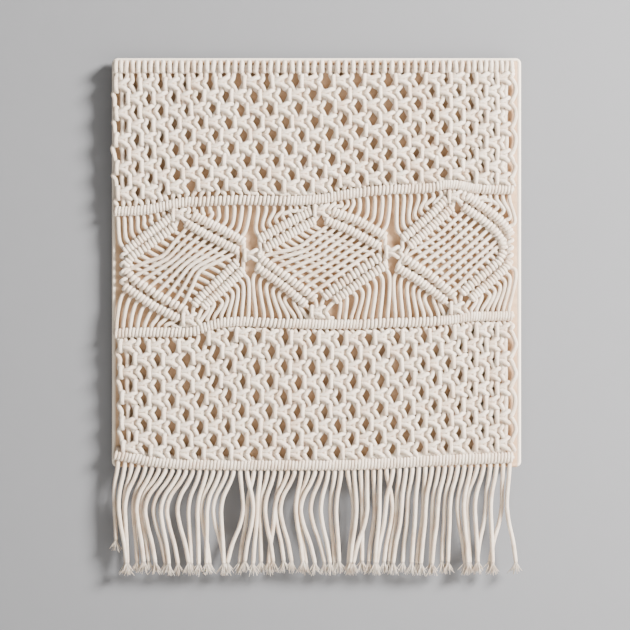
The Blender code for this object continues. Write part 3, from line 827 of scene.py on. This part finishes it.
def metal(name, colour, rough):
    look = Shader(name)
    place = look.node("ShaderNodeTexCoord").outputs["Object"]
    stretch = look.node("ShaderNodeMapping", inputs={0: place})
    stretch.inputs["Scale"].default_value = (60.0, 900.0, 900.0)
    brushed = look.node("ShaderNodeTexNoise", inputs={
        "Vector": stretch.outputs[0], "Scale": 2.0, "Detail": 3.0})
    dulled = look.math("MULTIPLY", brushed.outputs[0], 0.35)
    look.set("Base Color", look.mix(dulled, colour, srgb(120, 118, 114)))
    look.set("Metallic", 1.0)
    look.set("Roughness", look.math("ADD", look.math("MULTIPLY", brushed.outputs[0], 0.2), rough - 0.1))
    look.set("Normal", look.bump(brushed.outputs[0], 0.00002, 0.5))
    return look.material


CORD_SKIN = cotton_cord()
CLOTH_SKIN = woven_cloth("tan_cloth", srgb(176, 142, 110), srgb(208, 176, 144), 0.0016)
LINING_SKIN = woven_cloth("calico_lining", srgb(206, 196, 180), srgb(226, 218, 204), 0.0013)
PINE_SKIN = pine()
STEEL_SKIN = metal("zinc_plated_steel", srgb(196, 198, 200), 0.38)

# ---------------------------------------------------------------- the camera
camera = bpy.data.objects.new("camera", bpy.data.cameras.new("camera"))
bpy.context.scene.collection.objects.link(camera)
camera.data.lens = 85
camera.data.sensor_width = 36
camera.location = (-0.00165, -1.6477, -0.2527)
camera.rotation_euler = (math.radians(90), 0, 0)
bpy.context.scene.camera = camera

# ---------------------------------------------------------------- the knotting
knotting = []
for folded in range(STRANDS // 2):
    a, b = 2 * folded, 2 * folded + 1
    up = header_turn(a, True)
    down = header_turn(b, False)[::-1]
    turn = up + [((header_x(a) + header_x(b)) / 2, HEADER_MIDDLE - 3.4, 1.8)] + down
    cord = Strands()
    # The two header turns mirror each other, so that the fold lies between the two strands.
    cord.add(strand_run(a)[::-1] + turn + strand_run(b), radius=girth, tone=jitter(1.0))
    knotting.append(cord.build(f"knotting_cord_{folded + 1:02d}", CORD_SKIN))


def level_cord(name, course, depth=4.9, radius=1.9, ends=1.5):
    """A cord that runs across inside a bar."""
    cord = Strands()
    xs = np.linspace(KNOTTED_LEFT - ends, KNOTTED_LEFT + KNOTTED_WIDTH + ends, 60)
    cord.add([(x, course(x), depth) for x in xs], radius=radius)
    return cord.build(name, CORD_SKIN)


holding = level_cord("header_holding_cord", lambda x: HEADER_MIDDLE, 4.6)
cores = [
    level_cord("upper_bar_inner_cord", upper_bar),
    level_cord("lower_bar_inner_cord", lower_bar),
    level_cord("bottom_bar_inner_cord", bottom_bar),
]

# ---------------------------------------------------------------- the fringe
FRAY_LENGTH = 12
FIRST_CORD_SHORT_BY = 26
YARNS = 18
YARN_TURN = 2.4
YARN_RADIUS = 0.5
for group in range(GROUPS):
    cords = Strands()
    for strand in range(STRANDS):
        if int((slot_x(strand) - KNOTTED_LEFT) / KNOTTED_WIDTH * GROUPS) != group:
            continue
        x = height(BOTTOM_PLACES, strand)
        top = bottom_bar(x)
        tip = PANEL_BOTTOM - FRINGE_LENGTH + FRAY_LENGTH + jitter(1.5)
        if strand == 0:
            tip += FIRST_CORD_SHORT_BY
        mid, end = FRINGE_DRIFT[strand]
        depth = (2.6, 6.6)[strand % 2] + jitter(0.8)
        fall = top - tip

        def spot(share, drift, w):
            return x + drift, top - 3.6 - (fall - 3.6) * share, w

        tone = jitter(1.0)
        cords.add([
            (x + 0.8, top - 1.2, 2.0),
            (x + 0.4, top - 4.0, 2.8),
            spot(0.06, 0.02 * mid, 4.3),
            spot(0.16, 0.30 * mid, (depth + 4.4) / 2),
            spot(0.30, 0.80 * mid, depth),
            spot(0.44, mid, depth),
            spot(0.60, 0.80 * mid + 0.20 * end, depth),
            spot(0.80, 0.32 * mid + 0.68 * end, depth + jitter(0.8)),
            spot(1.0, end, depth * 0.6 + 1.8),
        ], radius=FRINGE_RADIUS, tone=tone, taper=((0, 0.97, 1.0), (1, 1, 0.9)))
        # The cut end opens into its yarns.
        heart = np.array(spot(1.0, end, depth * 0.6 + 1.8))
        for yarn in range(YARNS):
            turn = yarn * YARN_TURN + jitter(0.3)
            reach = (0.35 + 0.65 * (yarn / (YARNS - 1))) * 1.7
            spread = 1.5 + jitter(0.7) + 2.3 * (yarn % 3)
            out = np.array((math.cos(turn), 0.0, 0.55 * math.sin(turn)))
            length = 12.8 + jitter(3.4)
            root = heart + out * reach * 0.8 + np.array((0, 2.0, 0))
            cords.add([
                root,
                root + out * 0.3 + np.array((0, -length * 0.3, 0)),
                root + out * (0.5 * spread) + np.array((jitter(0.5), -length * 0.65, jitter(0.3))),
                root + out * spread + np.array((jitter(1.2), -length, jitter(0.5))),
            ], radius=YARN_RADIUS, sides=4, step=1.8, tone=tone, taper=((0, 0.6, 1.0), (1.2, 1, 0.5)))
    piece = cords.build(f"fringe_cords_{group + 1:02d}", CORD_SKIN)
    node = f"fringe_group_{group + 1:02d}"
    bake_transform(piece)
    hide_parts(node)


# ---------------------------------------------------------------- cloth
def grid_sheet(name, outline, material, thickness):
    """A sheet from a grid of points (rows of columns, metres), given its thickness."""
    rows, columns = outline.shape[:2]
    flat = outline.reshape(-1, 3)
    i = np.arange(rows - 1)[:, None]
    k = np.arange(columns - 1)[None, :]
    corner = i * columns + k
    quad = np.stack([corner, corner + 1, corner + columns + 1, corner + columns], -1)
    made = mesh_from(name, flat, [quad.reshape(-1, 4)], None, material)
    solid = made.modifiers.new("thickness", "SOLIDIFY")
    solid.thickness = thickness
    solid.offset = 0.0
    return made


def panel_sheet(name, node, material, thickness, roll, steps=90):
    """A square of cloth with rounded corners, whose edges roll back by a roll radius."""
    low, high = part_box(node)
    width, height = high.x - low.x, high.z - low.z
    depth = (low.y + high.y) / 2
    start, end = np.linspace(0, 0.02, 9)[:-1], np.linspace(0.98, 1, 9)[1:]
    share = np.concatenate([start, np.linspace(0.02, 0.98, steps), end])
    xs, zs = np.meshgrid(share, share)
    x, z = low.x + xs * width, low.z + zs * height
    edge = np.minimum.reduce([x - low.x, high.x - x, z - low.z, high.z - z])
    corner = 0.006
    for sx, sz in ((0, 0), (0, 1), (1, 0), (1, 1)):
        cx = low.x + corner if sx == 0 else high.x - corner
        cz = low.z + corner if sz == 0 else high.z - corner
        outside = ((x - cx) * (1 if sx else -1) > 0) & ((z - cz) * (1 if sz else -1) > 0)
        dx, dz = x - cx, z - cz
        square = np.maximum(np.abs(dx), np.abs(dz))
        away = np.maximum(np.hypot(dx, dz), 1e-9)
        factor = np.where(outside, square / away, 1.0)
        x, z = np.where(outside, cx + dx * factor, x), np.where(outside, cz + dz * factor, z)
    near = np.clip(edge / (2 * roll), 0, 1)
    lift = np.sin(near * math.pi) * roll * 0.8 - (1 - np.clip(edge / roll, 0, 1)) ** 2 * roll
    y = depth - lift
    return grid_sheet(name, np.stack([x, y, z], -1), material, thickness), (width, height)


front, front_flat = panel_sheet("folded_front_cloth", "front_cloth", CLOTH_SKIN, 0.0009, 0.0016)
lining, lining_flat = panel_sheet("calico_lining", "back_lining", LINING_SKIN, 0.0007, 0.0006)
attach(front, "panel")
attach(lining, "panel")
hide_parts("front_cloth")
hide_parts("back_lining")


def sleeve_sheet():
    """A flat tube of cloth, sewn to the lining along its top and bottom edges."""
    low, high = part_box("hanging_sleeve")
    middle_z, half = (low.z + high.z) / 2, (high.z - low.z) / 2
    front_y, rear_y = low.y + 0.0005, high.y - 0.0005
    around = []
    for angle in np.linspace(0, 2 * math.pi, 49):
        c, s = math.cos(angle), math.sin(angle)
        z = middle_z + half * 0.985 * math.copysign(abs(c) ** 0.45, c)
        y = (front_y + rear_y) / 2 + (rear_y - front_y) / 2 * math.copysign(abs(s) ** 0.6, s)
        around.append((y, z))
    xs = np.linspace(low.x, high.x, 80)
    points = np.array([[(x, y, z) for y, z in around] for x in xs])
    return grid_sheet("batten_sleeve", points, LINING_SKIN, 0.0006), (high.x - low.x, 2 * (2 * half + 0.007))


sleeve, sleeve_flat = sleeve_sheet()
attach(sleeve, "panel")
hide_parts("hanging_sleeve")


STITCH = 0.0042


def stitches(name, runs):
    """Short stitches along straight runs of (start, end), metres."""
    thread = Strands()
    for start, end in runs:
        start, end = np.array(start), np.array(end)
        length = np.linalg.norm(end - start)
        count = int(length / STITCH)
        direction = (end - start) / length
        for i in range(count):
            a = start + direction * (i + 0.15) * length / count
            b = start + direction * (i + 0.85) * length / count
            middle = (a + b) / 2 + np.array((0, 0.00025, 0))
            path = [(p[0] * 1000, p[2] * 1000, REAR_OF_KNOTTING - p[1] * 1000) for p in (a, middle, b)]
            thread.add(path, radius=0.22, sides=5, step=1.2, tone=0.0)
    made = thread.build(name, CORD_SKIN)
    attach(made, "panel")
    return made


low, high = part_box("hanging_sleeve")
lining_low, lining_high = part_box("back_lining")
rear = lining_high.y + 0.0002
inset = 0.004
left, right = lining_low.x + inset, lining_high.x - inset
foot, head = lining_low.z + inset, lining_high.z - inset
seams = stitches("lining_stitches", [
    ((left, rear, head), (right, rear, head)),
    ((left, rear, foot), (right, rear, foot)),
    ((left, rear, foot), (left, rear, head)),
    ((right, rear, foot), (right, rear, head)),
])
sleeve_seams = stitches("sleeve_stitches", [
    ((low.x + 0.002, rear, high.z + 0.001), (high.x - 0.002, rear, high.z + 0.001)),
    ((low.x + 0.002, rear, low.z - 0.001), (high.x - 0.002, rear, low.z - 0.001)),
])

# ---------------------------------------------------------------- what rides on what
NET_NODES = [f"{name}_net_row_{row}" for name in ("upper", "lower") for row in range(1, 10)]
DIAMOND_NODES = [
    f"diamond_{d}_{part}" for d in (1, 2, 3)
    for part in ("outer_hitches", "inner_hitches", "front_cords", "rear_cords")
]
OTHER_NODES = [
    "header_knots", "upper_hitch_bar", "lower_hitch_bar", "bottom_hitch_bar",
    "upper_float_cords", "lower_float_cords",
]
for piece in knotting:
    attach(piece, "panel")
    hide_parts(*NET_NODES, *DIAMOND_NODES, *OTHER_NODES)
CORE_NODES = (
    "holding_cord", "upper_hitch_bar_core_cord", "lower_hitch_bar_core_cord", "bottom_hitch_bar_core_cord",
)
for piece, node in zip([holding, *cores], CORE_NODES):
    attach(piece, "panel")
    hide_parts(node)

for name, material in (
    ("batten", PINE_SKIN), ("left_hanger_plate", STEEL_SKIN), ("right_hanger_plate", STEEL_SKIN),
    ("left_hanger_screw_a", STEEL_SKIN), ("left_hanger_screw_b", STEEL_SKIN),
    ("right_hanger_screw_a", STEEL_SKIN), ("right_hanger_screw_b", STEEL_SKIN),
):
    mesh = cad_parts[name].data
    for place in range(len(mesh.materials)):
        mesh.materials[place] = material

# ---------------------------------------------------------------- stage and light
def stage_plane(name, corners, material):
    made = mesh_from(name, np.array(corners), [np.array([[0, 1, 2, 3]])], None, material, smooth=False)


def plaster(name, colour, one_sided):
    look = Shader(name)
    place = look.node("ShaderNodeTexCoord").outputs["Object"]
    grit = look.node("ShaderNodeTexNoise", inputs={"Vector": place, "Scale": 40.0, "Detail": 4.0})
    paler = tuple(min(1, c * 1.03) for c in colour)
    look.set("Base Color", look.ramp(grit.outputs[0], (0.3, colour), (0.8, paler)))
    look.set("Roughness", look.math("ADD", look.math("MULTIPLY", grit.outputs[0], 0.1), 0.85))
    look.set("Normal", look.bump(grit.outputs[0], 0.0004, 0.3))
    if one_sided:
        clear = look.node("ShaderNodeBsdfTransparent")
        side = look.node("ShaderNodeNewGeometry")
        # The patch behind the panel lets light through, so that the rear light reaches the lining.
        ray = look.node("ShaderNodeLightPath")
        split = look.node("ShaderNodeSeparateXYZ", inputs={0: place})
        patch = look.math("LESS_THAN", look.math("ABSOLUTE", split.outputs[0]), PANEL_HALF / 1000)
        over = look.math("GREATER_THAN", split.outputs[2], PANEL_BOTTOM / 1000)
        patch = look.math("MULTIPLY", patch, over)
        under = look.math("LESS_THAN", split.outputs[2], PANEL_TOP / 1000)
        patch = look.math("MULTIPLY", patch, under)
        patch = look.math("MULTIPLY", patch, ray.outputs["Is Shadow Ray"])
        open_side = look.math("MAXIMUM", patch, side.outputs["Backfacing"])
        mix = look.node("ShaderNodeMixShader", inputs={0: open_side})
        look.tree.links.new(look.skin.outputs[0], mix.inputs[1])
        look.tree.links.new(clear.outputs[0], mix.inputs[2])
        look.tree.links.new(mix.outputs[0], look.out.inputs[0])
    return look.material


WALL_Y = 0.0014
FLOOR_Z = -0.62
stage_plane("wall", [
    (-3, WALL_Y, FLOOR_Z), (3, WALL_Y, FLOOR_Z), (3, WALL_Y, 2.4), (-3, WALL_Y, 2.4)],
    plaster("plaster", srgb(116, 117, 120), True))
stage_plane("floor", [
    (-3, -4, FLOOR_Z), (3, -4, FLOOR_Z), (3, 3, FLOOR_Z), (-3, 3, FLOOR_Z)],
    plaster("floor_paint", srgb(214, 213, 210), False))


def area_light(name, place, aim, size, power, colour=(1, 1, 1)):
    light = bpy.data.lights.new(name, "AREA")
    light.shape = "DISK"
    light.size = size
    light.energy = power
    light.color = colour
    made = bpy.data.objects.new(name, light)
    bpy.context.scene.collection.objects.link(made)
    made.location = place
    direction = np.array(aim) - np.array(place)
    yaw = math.atan2(-direction[0], direction[1])
    pitch = math.atan2(direction[2], math.hypot(direction[0], direction[1]))
    made.rotation_euler = (math.pi / 2 + pitch, 0, yaw)


MIDDLE = (0, 0, -0.25)
area_light("key", (2.1, -1.45, 0.85), MIDDLE, 0.85, 460, (1.0, 0.975, 0.945))
area_light("fill", (-1.2, -2.3, 0.5), MIDDLE, 1.8, 5, (1.0, 0.98, 0.96))
area_light("rear", (0.9, 2.2, 0.9), MIDDLE, 1.2, 28)

world = bpy.data.worlds.new("studio")
bpy.context.scene.world = world
world.use_nodes = True
background = world.node_tree.nodes["Background"]
background.inputs["Color"].default_value = (1.0, 0.975, 0.95, 1)
background.inputs["Strength"].default_value = 0.12

bpy.context.view_layer.update()
